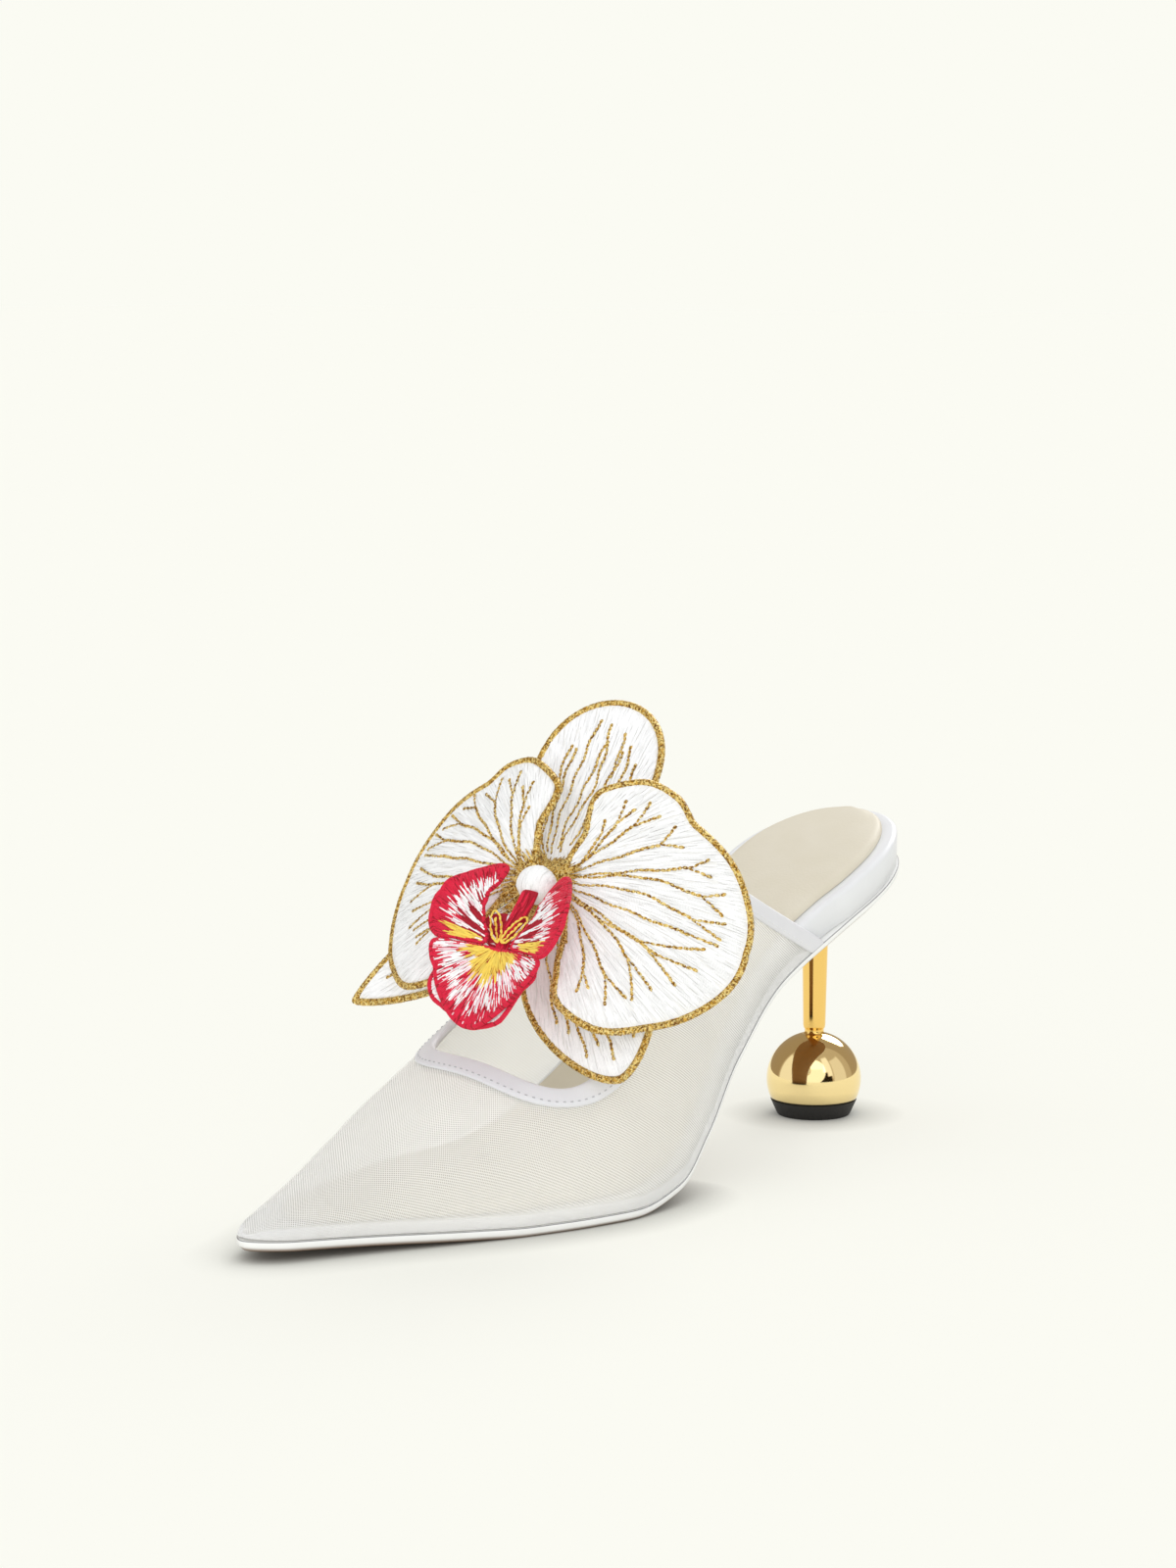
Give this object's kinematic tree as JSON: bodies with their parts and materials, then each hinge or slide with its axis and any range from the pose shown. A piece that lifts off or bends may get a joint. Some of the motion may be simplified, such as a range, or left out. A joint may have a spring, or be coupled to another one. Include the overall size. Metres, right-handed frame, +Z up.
{
  "type": "heeled mule",
  "caption": "Left heeled mule: sheer mesh upper with a toe cut-out, padded sock, pin heel ending in a metal ball, and an embroidered orchid ornament on the vamp.",
  "frame": {"origin": "centre of the bounding box at floor level, under the middle of the shoe", "axes": "+Z up, -Y towards the toe, +X towards the outer side of the left foot"},
  "size_m": [0.1004, 0.2384, 0.1195],
  "materials": {
    "white_leather": "smooth satin",
    "beige_leather": "soft, fine grain",
    "white_mesh": "sheer fine mesh",
    "white_tape": "satin tape",
    "gold_metal": "polished",
    "black_rubber": "matte",
    "white_thread": "satin stitch",
    "gold_cord": "metallic thread",
    "red_thread": "satin stitch",
    "yellow_cord": "satin stitch"
  },
  "bodies": {
    "root": {"outsole": "white_leather", "footbed": "white_leather", "insole_sock": "beige_leather", "upper": "white_mesh", "topline_binding": "white_tape", "throat_binding": "white_tape", "heel_pin": "gold_metal", "heel_ball": "gold_metal", "heel_top_piece": "black_rubber", "dorsal_sepal": "white_thread", "petal_left": "white_thread", "petal_right": "white_thread", "sepal_left": "white_thread", "sepal_right": "white_thread", "dorsal_sepal_cord": "gold_cord", "petal_left_cord": "gold_cord", "petal_right_cord": "gold_cord", "sepal_left_cord": "gold_cord", "sepal_right_cord": "gold_cord", "lip_mid": "red_thread", "lip_wing_left": "red_thread", "lip_wing_right": "red_thread", "lip_claw": "red_thread", "column": "white_thread", "callus_left": "yellow_cord", "callus_right": "yellow_cord"}
  },
  "joints": []
}
